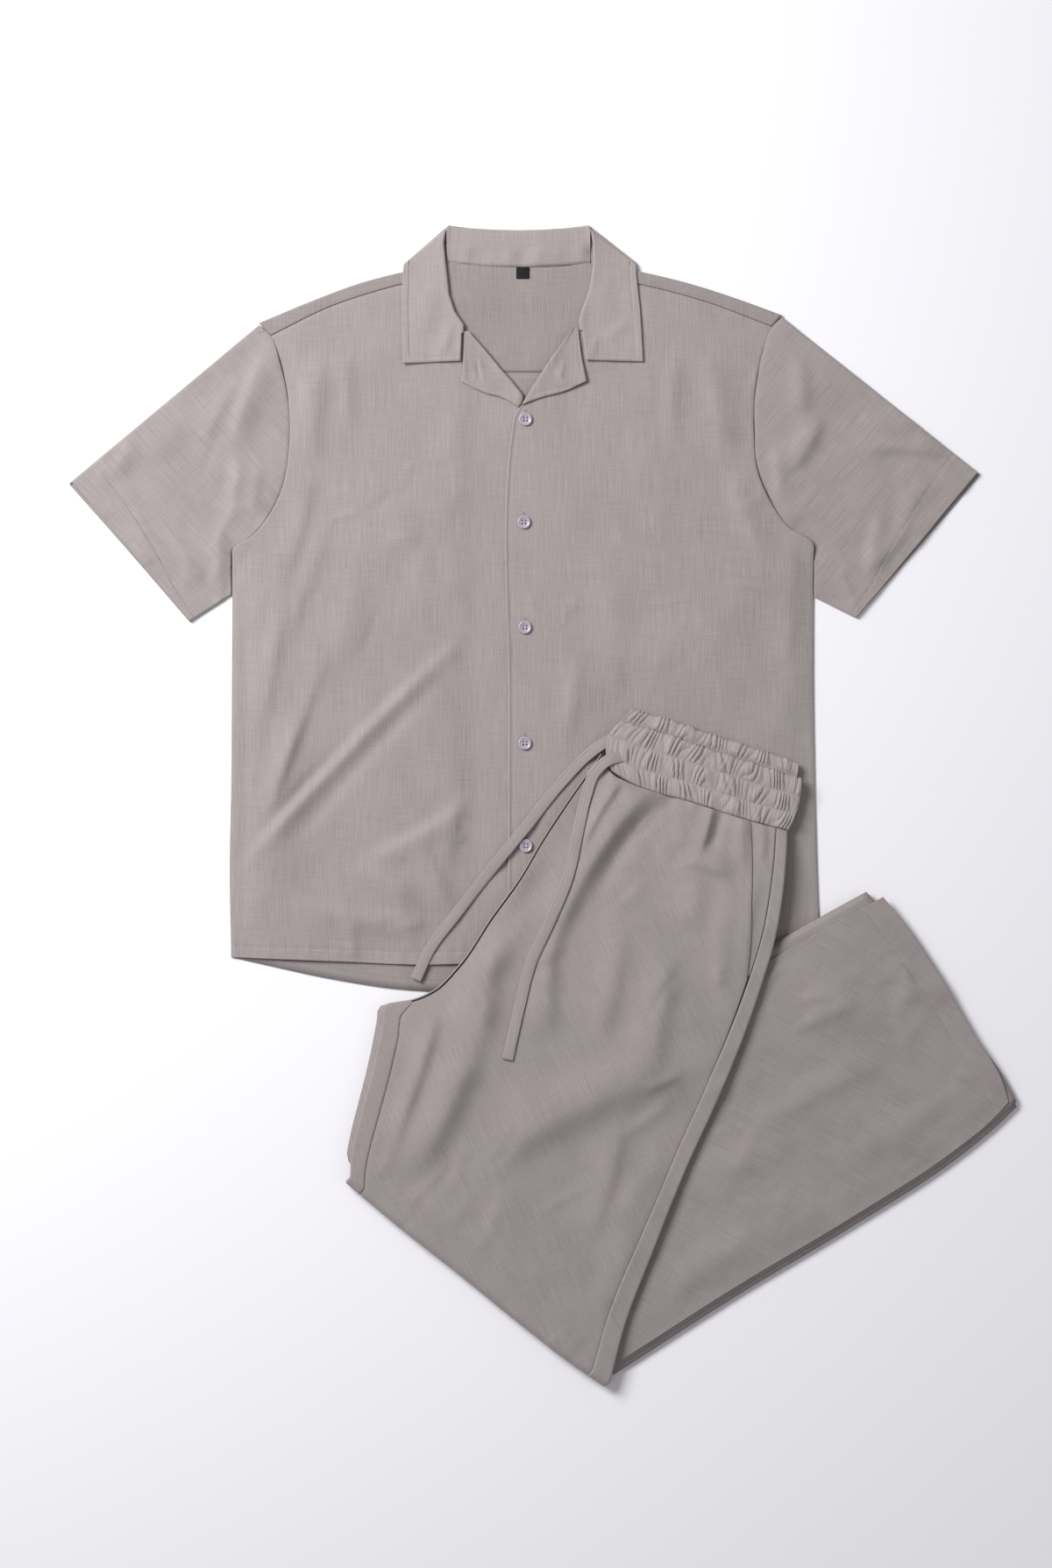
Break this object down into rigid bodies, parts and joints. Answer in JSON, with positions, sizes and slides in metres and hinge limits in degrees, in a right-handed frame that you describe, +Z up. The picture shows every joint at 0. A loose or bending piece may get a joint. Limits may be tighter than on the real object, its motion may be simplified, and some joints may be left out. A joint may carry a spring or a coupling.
{
  "type": "shirt and trousers set",
  "caption": "Short-sleeved camp-collar shirt laid flat, with drawstring trousers folded at the centre front and the knee, their gathered waist lying on the shirt's hem.",
  "frame": {"origin": "on the surface that the set lies on, below the middle of its outline", "axes": "+X towards the shirt's left side (the wearer's), +Y from the trousers' knee fold up to the collar, +Z up from the surface"},
  "size_m": [0.9215, 1.1262, 0.0249],
  "materials": {
    "linen": "plain slubby linen weave, taupe grey, matt",
    "button": "satin resin, lavender grey",
    "label": "black woven tape, bare"
  },
  "bodies": {
    "root": {"shirt_back": "linen", "shirt_yoke": "linen", "shirt_front_right": "linen", "shirt_front_left": "linen", "shirt_sleeve_right": "linen", "shirt_sleeve_left": "linen", "shirt_lapel_right": "linen", "shirt_lapel_left": "linen", "shirt_collar": "linen", "shirt_neck_label": "label", "shirt_button_1": "button", "shirt_button_2": "button", "shirt_button_3": "button", "shirt_button_4": "button", "shirt_button_5": "button", "trouser_left_front": "linen", "trouser_left_back": "linen", "trouser_pocket_facing": "linen", "trouser_upper_layers": "linen", "trouser_right_front": "linen", "trouser_right_back": "linen", "trouser_lower_layers": "linen", "trouser_waistband_front": "linen", "trouser_waistband_back": "linen", "trouser_tie_right": "linen", "trouser_tie_left": "linen"}
  },
  "joints": []
}
